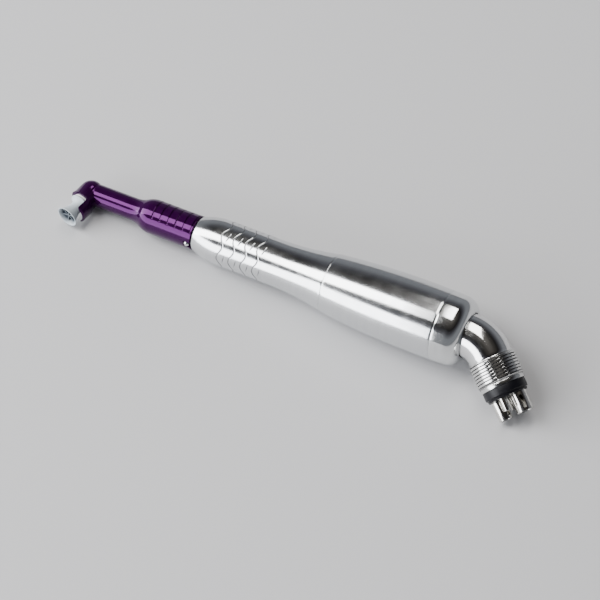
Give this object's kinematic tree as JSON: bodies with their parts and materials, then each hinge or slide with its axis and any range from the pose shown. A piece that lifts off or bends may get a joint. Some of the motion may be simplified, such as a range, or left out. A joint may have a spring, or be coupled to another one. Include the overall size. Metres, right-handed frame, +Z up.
{
  "type": "contra angle handpiece",
  "caption": "Air-driven dental hygiene handpiece: steel grip and vane motor body, swivel elbow with hose connector, push-on clear violet angle head with elastomer polishing cup.",
  "frame": {"origin": "centre of the bounding box at the level of the surface it lies on", "axes": "+X along the handpiece from the cup end to the hose connector, +Z up; it lies on its side, the connector and the cup turned towards -Y"},
  "size_m": [0.1322, 0.0234, 0.0189],
  "materials": {
    "violet_plastic": "clear tinted, polished",
    "white_plastic": "moulded acetal",
    "cup_elastomer": "soft matt elastomer",
    "sleeve_steel": "fine circumferential turning lines",
    "housing_steel": "fine circumferential turning lines",
    "cap_steel": "polished stainless steel",
    "elbow_steel": "polished stainless steel",
    "collar_steel": "machined thread",
    "tube_steel": "bright drawn tube",
    "key_steel": "polished",
    "inner_steel": "turned",
    "gear_steel": "ground",
    "bearing_steel": "ground and polished",
    "bronze": "sintered bronze",
    "vane_plastic": "machined vane composite",
    "black_rubber": "matt black"
  },
  "bodies": {
    "handle": {"front_sleeve": "sleeve_steel", "nose_cone": "inner_steel", "index_key": "key_steel", "nose_o_ring": "black_rubber", "spindle_bush": "bronze", "spindle_bearing_outer_race": "bearing_steel", "ring_gear": "gear_steel", "front_bearing_outer_race": "bearing_steel", "rear_bearing_outer_race": "bearing_steel", "motor_liner": "inner_steel", "front_end_plate": "inner_steel", "rear_end_plate": "inner_steel", "bearing_spring": "inner_steel", "motor_housing": "housing_steel", "housing_o_ring": "black_rubber", "rear_cap": "cap_steel", "cap_o_ring": "black_rubber", "swivel_clip": "inner_steel"},
    "swivel": {"swivel_elbow": "elbow_steel", "swivel_o_rings": "black_rubber", "hose_collar": "collar_steel", "connector_gasket": "black_rubber", "exhaust_tube": "tube_steel", "drive_air_tube": "tube_steel", "water_tube": "tube_steel", "chip_air_tube": "tube_steel"},
    "rotor": {"sun_shaft": "gear_steel", "motor_rotor": "inner_steel", "motor_vanes": "vane_plastic", "front_bearing_inner_race": "bearing_steel", "rear_bearing_inner_race": "bearing_steel"},
    "carrier": {"output_spindle": "gear_steel", "planet_pins": "gear_steel", "spindle_bearing_inner_race": "bearing_steel"},
    "planet_1": {"planet_gear_1": "gear_steel"},
    "planet_2": {"planet_gear_2": "gear_steel"},
    "planet_3": {"planet_gear_3": "gear_steel"},
    "front_cage": {"front_bearing_balls": "bearing_steel"},
    "rear_cage": {"rear_bearing_balls": "bearing_steel"},
    "spindle_cage": {"spindle_bearing_balls": "bearing_steel"},
    "angle_head": {"angle_housing": "violet_plastic", "drive_shaft_clip": "white_plastic", "head_retainer": "white_plastic"},
    "drive_gear": {"angle_drive_gear": "white_plastic"},
    "cup": {"cup_rotor": "white_plastic", "prophy_cup": "cup_elastomer"}
  },
  "joints": [
    {"name": "swivel_turn", "type": "hinge", "parent": "handle", "child": "swivel", "pos_m": [0.04033, 0.00265, 0.01001], "axis": [0.9979, 0, 0.0643], "continuous": true},
    {"name": "motor_spin", "type": "hinge", "parent": "handle", "child": "rotor", "pos_m": [0.01458, 0.00265, 0.00835], "axis": [0.9979, 0, 0.0643], "continuous": true},
    {"name": "carrier_spin", "type": "hinge", "parent": "handle", "child": "carrier", "pos_m": [0.00041, 0.00265, 0.00744], "axis": [0.9979, 0, 0.0643], "continuous": true},
    {"name": "planet_1_spin", "type": "hinge", "parent": "carrier", "child": "planet_1", "pos_m": [0.00995, 0.00053, 0.01097], "axis": [0.9979, 0, 0.0643], "continuous": true},
    {"name": "planet_2_spin", "type": "hinge", "parent": "carrier", "child": "planet_2", "pos_m": [0.01035, 0.0012, 0.00478], "axis": [0.9979, 0, 0.0643], "continuous": true},
    {"name": "planet_3_spin", "type": "hinge", "parent": "carrier", "child": "planet_3", "pos_m": [0.01012, 0.00623, 0.00845], "axis": [0.9979, 0, 0.0643], "continuous": true},
    {"name": "front_cage_spin", "type": "hinge", "parent": "handle", "child": "front_cage", "pos_m": [0.01458, 0.00265, 0.00835], "axis": [0.9979, 0, 0.0643], "continuous": true},
    {"name": "rear_cage_spin", "type": "hinge", "parent": "handle", "child": "rear_cage", "pos_m": [0.03359, 0.00265, 0.00958], "axis": [0.9979, 0, 0.0643], "continuous": true},
    {"name": "spindle_cage_spin", "type": "hinge", "parent": "handle", "child": "spindle_cage", "pos_m": [0.00041, 0.00265, 0.00744], "axis": [0.9979, 0, 0.0643], "continuous": true},
    {"name": "angle_pull", "type": "slide", "parent": "handle", "child": "angle_head", "axis": [-0.9979, 0, -0.0643], "range_m": [0, 0.03]},
    {"name": "drive_gear_spin", "type": "hinge", "parent": "angle_head", "child": "drive_gear", "pos_m": [-0.05547, 0.00265, 0.00384], "axis": [0.9979, 0, 0.0643], "continuous": true},
    {"name": "cup_spin", "type": "hinge", "parent": "angle_head", "child": "cup", "pos_m": [-0.06146, 0.00265, 0.00345], "axis": [-0.1784, -0.9817, 0.0674], "continuous": true}
  ],
  "couplings": [
    {"joint": "carrier_spin", "follows": "motor_spin", "ratio": 0.25},
    {"joint": "planet_1_spin", "follows": "motor_spin", "ratio": -0.75},
    {"joint": "planet_2_spin", "follows": "motor_spin", "ratio": -0.75},
    {"joint": "planet_3_spin", "follows": "motor_spin", "ratio": -0.75},
    {"joint": "front_cage_spin", "follows": "motor_spin", "ratio": 0.36111},
    {"joint": "rear_cage_spin", "follows": "motor_spin", "ratio": 0.36111},
    {"joint": "spindle_cage_spin", "follows": "motor_spin", "ratio": 0.090278},
    {"joint": "drive_gear_spin", "follows": "motor_spin", "ratio": 0.25},
    {"joint": "cup_spin", "follows": "motor_spin", "ratio": -0.25}
  ]
}
